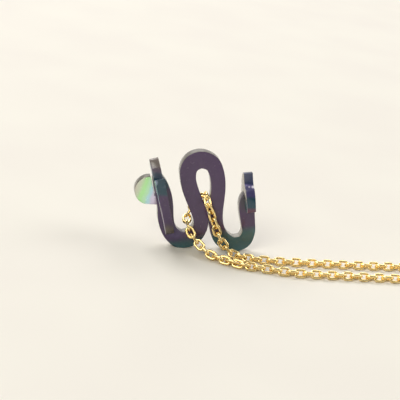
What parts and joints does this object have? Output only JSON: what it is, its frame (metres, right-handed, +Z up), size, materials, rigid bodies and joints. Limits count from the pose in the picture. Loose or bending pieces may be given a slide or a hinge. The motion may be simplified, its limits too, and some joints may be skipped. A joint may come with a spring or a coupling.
{
  "type": "snake pendant on a cable chain necklace",
  "caption": "Snake pendant of flat sheet plates slotted together, standing on its feet, with a cable chain threaded through its eye and laid out as an open necklace loop.",
  "frame": {"origin": "middle of the flat under the snake's left foot, on the surface that the pendant stands on", "axes": "+X to the right along the big plate, towards the necklace loop; +Y to the back of the big plate; +Z up"},
  "size_m": [0.1886, 0.0874, 0.0344],
  "materials": {
    "dark_plastic": "glossy sheet plastic that shifts from purple to teal",
    "pearl_plastic": "pearly sheet plastic that shifts from pale green to lilac",
    "chain_gold": "bright gold plating"
  },
  "bodies": {
    "root": {"serpent_body": "dark_plastic", "head_plate": "dark_plastic", "tail_plate": "dark_plastic", "head_disc": "pearl_plastic", "chain_eye_turn": "chain_gold", "chain_front_strand": "chain_gold", "chain_rear_strand": "chain_gold", "chain_front_loop": "chain_gold", "chain_rear_loop": "chain_gold", "clasp": "chain_gold"}
  },
  "joints": []
}
